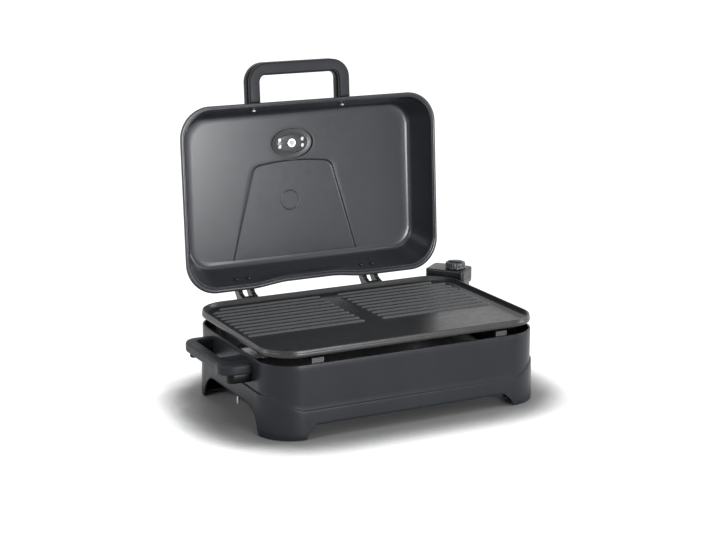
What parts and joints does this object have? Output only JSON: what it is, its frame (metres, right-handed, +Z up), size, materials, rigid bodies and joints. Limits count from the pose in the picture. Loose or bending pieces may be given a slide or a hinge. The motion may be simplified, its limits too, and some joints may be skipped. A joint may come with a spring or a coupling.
{
  "type": "electric indoor grill with hinged lid",
  "caption": "Tabletop electric grill with an open hinged lid, ribbed lift-off plate, footed base, side handle and plug-in heat control.",
  "frame": {"origin": "on the table, under the middle of the whole object's outline with the lid open", "axes": "+Z up, +Y from the front of the grill toward the hinges, +X to the cook's right"},
  "size_m": [0.5186, 0.3878, 0.4708],
  "materials": {
    "housing": "satin dark grey moulding",
    "handle": "fine grained dark grey",
    "rubber": "matt black",
    "sheet": "plain rolled sheet",
    "steel": "plain zinc plated",
    "bracket": "black enamel",
    "nonstick": "dark glossy non-stick coat on a casting",
    "element": "dull heat-stained tube",
    "contact": "plain",
    "ceramic": "unglazed",
    "lid_paint": "satin metallic grey paint",
    "damper": "satin metallic grey paint",
    "control": "black moulding",
    "knob": "grey moulding",
    "inlet": "matt black",
    "lens": "clear amber",
    "lamp": "small neon tube"
  },
  "bodies": {
    "base": {"base_housing": "housing", "side_handle": "handle", "side_handle_screws": "steel", "rubber_feet": "rubber", "heat_shield": "sheet", "shield_studs": "steel", "plate_supports": "steel", "support_screws": "steel", "base_hinge_brackets": "bracket", "base_hinge_screws": "steel", "hinge_pins": "steel"},
    "tray": {"drip_tray": "sheet"},
    "plate": {"grill_plate": "nonstick", "heating_element": "element", "element_clips": "steel", "terminal_pins": "contact", "terminal_insulators": "ceramic", "terminal_guard": "steel", "guard_screws": "steel"},
    "lid": {"lid_shell": "lid_paint", "lid_handle": "handle", "lid_handle_screws": "steel", "lid_hinge_arms": "bracket", "lid_hinge_screws": "steel", "vent_screw": "steel", "vent_washer": "steel"},
    "damper": {"vent_damper": "damper"},
    "control": {"control_lower_housing": "control", "control_upper_housing": "control", "control_screws": "steel", "cord_inlet": "inlet", "probe_tube": "steel", "contact_sockets": "contact", "thermostat_block": "ceramic", "pilot_lens": "lens", "pilot_lamp": "lamp"},
    "knob": {"control_knob": "knob", "knob_shaft": "steel"}
  },
  "joints": [
    {"name": "lid_hinge", "type": "hinge", "parent": "base", "child": "lid", "pos_m": [-0.0003, 0.11101, 0.1203], "axis": [-1, 0, 0], "range_deg": [-93.5, 0]},
    {"name": "plate_lift", "type": "slide", "parent": "base", "child": "plate", "axis": [0, 0, 1], "range_m": [0, 0.009]},
    {"name": "tray_lift", "type": "slide", "parent": "base", "child": "tray", "axis": [0, 0, 1], "range_m": [0, 0.035]},
    {"name": "control_unplug", "type": "slide", "parent": "plate", "child": "control", "axis": [0.766, 0.6428, 0], "range_m": [0, 0.07]},
    {"name": "knob_turn", "type": "hinge", "parent": "control", "child": "knob", "pos_m": [0.23023, 0.09339, 0.135], "axis": [0, 0, -1], "range_deg": [0, 270]},
    {"name": "vent_turn", "type": "hinge", "parent": "lid", "child": "damper", "pos_m": [-0.0123, 0.18379, 0.34067], "axis": [0, 0.9981, -0.061], "range_deg": [0, 30]}
  ]
}
